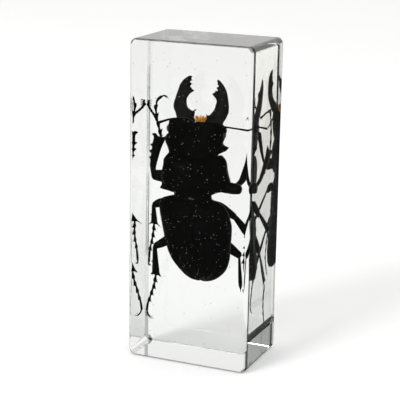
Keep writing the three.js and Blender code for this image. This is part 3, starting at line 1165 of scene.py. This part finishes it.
lip = [(-1.7, 81.0), (-1.4, 82.5), (-0.4, 82.9), (0.5, 82.6), (1.4, 83.0), (2.2, 82.5), (2.5, 81.0)]
points, triangles, gaps = fill_outline(smooth_line(lip, step=0.2), 0.2)
height = blown_height(points, triangles)
skin = two_sided(
    points, triangles, -0.5 * height, 0.5 * height, lambda x, z, depth: np.column_stack([x, depth + 0.2, z]),
)
fixed_piece("lip", *skin, body_finish, "black_shell")
palps = {
    "left": [
        (-2.3, 0.9, 84.2, 0.32), (-2.6, 1.1, 85.5, 0.26), (-1.9, 1.3, 86.3, 0.22), (-1.4, 1.3, 86.5, 0.1),
    ],
    "right": [(2.6, 1.8, 83.2, 0.3), (2.5, 2.2, 84.1, 0.26), (2.0, 2.4, 84.8, 0.2), (1.8, 2.4, 85.0, 0.1)],
}
for side, path in palps.items():
    fixed_piece(f"palp_{side}", *rod(path, sides=10), leg_finish, "black_shell")


def bristle_finish():
    """Amber hairs, lemon to orange, with dark brown strands picked out along the brush."""
    material, tree, shader, output = new_material("amber_bristle")
    place = add_node(tree, "ShaderNodeTexCoord").outputs["Object"]
    streak = add_node(tree, "ShaderNodeMapping", [("Vector", place)])
    streak.inputs["Scale"].default_value = (1, 1, 0.12)
    noise = add_node(
        tree, "ShaderNodeTexNoise", [("Vector", streak.outputs["Vector"])], Scale=1500.0, Detail=1.0,
    )
    ramp = add_node(tree, "ShaderNodeValToRGB", [("Fac", noise.outputs["Fac"])])
    bands = ramp.color_ramp.elements
    bands[0].position, bands[0].color = 0.34, (0.12, 0.025, 0.002, 1)
    bands[1].position, bands[1].color = 0.6, (1.0, 0.62, 0.05, 1)
    amber = bands.new(0.45)
    amber.color = (1.0, 0.32, 0.008, 1)
    tree.links.new(ramp.outputs["Color"], shader.inputs["Base Color"])
    shader.inputs["Specular IOR Level"].default_value = 0.15
    shader.inputs["Roughness"].default_value = 0.4
    return material


def bristle_brush():
    """Geometry Nodes: stands tapered hairs on a strip of skin, each leaning and sized by chance."""
    tree, identifiers, given = started_tree("bristle_brush", {
        "Skin": "Geometry", "Finish": "Material", "Hairs per area": "Float", "Hair length": "Float",
        "Hair width": "Float", "Lean": "Float", "Seed": "Int",
    })
    roots = add_node(
        tree, "GeometryNodeDistributePointsOnFaces",
        [("Mesh", given["Skin"]), ("Density", given["Hairs per area"]), ("Seed", given["Seed"])],
    )
    hair = add_node(
        tree, "GeometryNodeMeshCone",
        [("Radius Bottom", given["Hair width"]), ("Depth", given["Hair length"])],
        Vertices=5, Side_Segments=3, Fill_Segments=1, Radius_Top=HAIR_TIP_WIDTH * MM,
    )
    less = add_node(tree, "ShaderNodeMath", [(0, given["Lean"])], operation="MULTIPLY")
    less.inputs[1].default_value = -1
    low = add_node(tree, "ShaderNodeCombineXYZ", [("X", less.outputs["Value"]), ("Y", less.outputs["Value"])])
    high = add_node(tree, "ShaderNodeCombineXYZ", [("X", given["Lean"]), ("Y", given["Lean"])])
    lean = add_node(
        tree, "FunctionNodeRandomValue",
        [("Min", low.outputs["Vector"]), ("Max", high.outputs["Vector"]), ("Seed", given["Seed"])],
        data_type="FLOAT_VECTOR",
    )
    length = add_node(tree, "FunctionNodeRandomValue", [("Seed", given["Seed"])], data_type="FLOAT")
    length.inputs[2].default_value = SHORTEST_HAIR
    length.inputs[3].default_value = 1.0
    stood = add_node(
        tree, "GeometryNodeInstanceOnPoints",
        [
            ("Points", roots.outputs["Points"]), ("Instance", hair.outputs["Mesh"]),
            ("Rotation", roots.outputs["Rotation"]), ("Scale", length.outputs[1]),
        ],
    )
    leaning = add_node(
        tree, "GeometryNodeRotateInstances",
        [("Instances", stood.outputs["Instances"]), ("Rotation", lean.outputs["Value"])],
    )
    finish_tree(tree, leaning.outputs["Instances"], given["Finish"])
    return tree, identifiers


brush_skin = bpy.data.meshes.new("brush_skin")
skin_corners, skin_faces = [], []
for tuft, (shift, fan) in enumerate(TUFTS):
    for px, py in ((-1, -1), (1, -1), (1, 1), (-1, 1)):
        across = Vector((px * math.cos(fan), py * TUFT_STRETCH, -px * math.sin(fan))) * TUFT_HALF_WIDTH
        skin_corners.append((Vector(BRUSH_ROOT) + Vector((shift, 0, 0)) + across) * MM)
    skin_faces.append(tuple(range(4 * tuft, 4 * tuft + 4)))
brush_skin.from_pydata(skin_corners, [], skin_faces)
tuft_area = 4 * TUFT_STRETCH * (TUFT_HALF_WIDTH * MM) ** 2
brush_tree, brush_inputs = bristle_brush()
grown(
    "mouth_brush", brush_skin, brush_tree, brush_inputs,
    {
        "Finish": bristle_finish(), "Hairs per area": BRISTLES_PER_TUFT / tuft_area,
        "Hair length": BRISTLE_LENGTH * MM, "Hair width": HAIR_WIDTH * MM, "Lean": HAIR_LEAN, "Seed": 4,
    },
)

# ------------------------------------------------------------------ bubbles
# Dust-fine bubbles of air that were caught all through the block while the resin set. Each is a
# hollow, so its glass is turned inside out.
BUBBLE_COUNT = 150
BUBBLE_SIZES = (0.05, 0.17)


def bubble_finish():
    material, tree, shader, output = new_material("air_bubble")
    shader.inputs["Transmission Weight"].default_value = 1.0
    shader.inputs["IOR"].default_value = 1 / RESIN_IOR
    shader.inputs["Roughness"].default_value = 0.05
    return material


def scattered_bubbles():
    """Geometry Nodes: small balls of chance sizes on points scattered over a skin."""
    tree, identifiers, given = started_tree("scattered_bubbles", {
        "Skin": "Geometry", "Finish": "Material", "Bubbles per area": "Float", "Smallest": "Float",
        "Largest": "Float", "Seed": "Int",
    })
    spots = add_node(
        tree, "GeometryNodeDistributePointsOnFaces",
        [("Mesh", given["Skin"]), ("Density", given["Bubbles per area"]), ("Seed", given["Seed"])],
    )
    ball = add_node(tree, "GeometryNodeMeshIcoSphere", Radius=1.0, Subdivisions=2)
    size = add_node(
        tree, "FunctionNodeRandomValue", [("Seed", given["Seed"])], data_type="FLOAT",
    )
    tree.links.new(given["Smallest"], size.inputs[2])
    tree.links.new(given["Largest"], size.inputs[3])
    blown = add_node(
        tree, "GeometryNodeInstanceOnPoints",
        [("Points", spots.outputs["Points"]), ("Instance", ball.outputs["Mesh"]), ("Scale", size.outputs[1])],
    )
    finish_tree(tree, blown.outputs["Instances"], given["Finish"])
    return tree, identifiers


bubble_tree, bubble_inputs = scattered_bubbles()
bubble_glass = bubble_finish()
sheet_count = 7
sheets = bpy.data.meshes.new("bubble_sheets")
sheet_corners, sheet_faces = [], []
for sheet in range(sheet_count):
    depth = block_low.y + BLOCK_SIZE.y * (0.08 + 0.84 * sheet / (sheet_count - 1))
    for px, pz in ((-0.46, 0.04), (0.46, 0.04), (0.46, 0.96), (-0.46, 0.96)):
        sheet_corners.append((px * BLOCK_SIZE.x, depth, pz * BLOCK_SIZE.z))
    sheet_faces.append(tuple(range(4 * sheet, 4 * sheet + 4)))
sheets.from_pydata(sheet_corners, [], sheet_faces)
sheet_area = sheet_count * 0.92 * 0.92 * BLOCK_SIZE.x * BLOCK_SIZE.z
grown(
    "resin_bubbles", sheets, bubble_tree, bubble_inputs,
    {
        "Finish": bubble_glass, "Bubbles per area": BUBBLE_COUNT / sheet_area,
        "Smallest": BUBBLE_SIZES[0] * MM, "Largest": BUBBLE_SIZES[1] * MM, "Seed": 11,
    },
)

# ------------------------------------------------------------------ motes
# Specks of pale dust and tiny flattened bubbles that stuck to the beetle's back, head and jaws when
# the first resin was poured over it. Each is a grain one or two tenths of a millimetre across.
MOTE_COUNT = 360
MOTE_SIZES = (0.03, 0.13)
MOTE_LIFT = 0.12
DUSTY_TURN = -0.35
DUSTY_PIECES = (
    "head", "pronotum", "waist", "elytron_left", "elytron_right", "mandible_left", "mandible_right",
)


def mote_finish():
    """Pale grey dust, some grains whiter than others."""
    material, tree, shader, output = new_material("pale_mote")
    place = add_node(tree, "ShaderNodeTexCoord").outputs["Object"]
    grain = add_node(tree, "ShaderNodeTexNoise", [("Vector", place)], Scale=900.0)
    grey = add_node(tree, "ShaderNodeMapRange", [("Value", grain.outputs["Fac"])], To_Min=0.25, To_Max=0.95)
    tree.links.new(grey.outputs["Result"], shader.inputs["Base Color"])
    shader.inputs["Roughness"].default_value = 0.6
    return material


dusty_skin = bmesh.new()
for name in DUSTY_PIECES:
    dusty_skin.from_mesh(bpy.data.objects[name].data)
dusty_skin.normal_update()
unseen = [f for f in dusty_skin.faces if f.normal.y > DUSTY_TURN]
bmesh.ops.delete(dusty_skin, geom=unseen, context="FACES")
for vertex in dusty_skin.verts:
    vertex.co += vertex.normal * MOTE_LIFT * MM
dusty_area = sum(f.calc_area() for f in dusty_skin.faces)
dusty_mesh = bpy.data.meshes.new("dusty_skin")
dusty_skin.to_mesh(dusty_mesh)
dusty_skin.free()
grown(
    "dust_motes", dusty_mesh, bubble_tree, bubble_inputs,
    {
        "Finish": mote_finish(), "Bubbles per area": MOTE_COUNT / dusty_area,
        "Smallest": MOTE_SIZES[0] * MM, "Largest": MOTE_SIZES[1] * MM, "Seed": 3,
    },
)
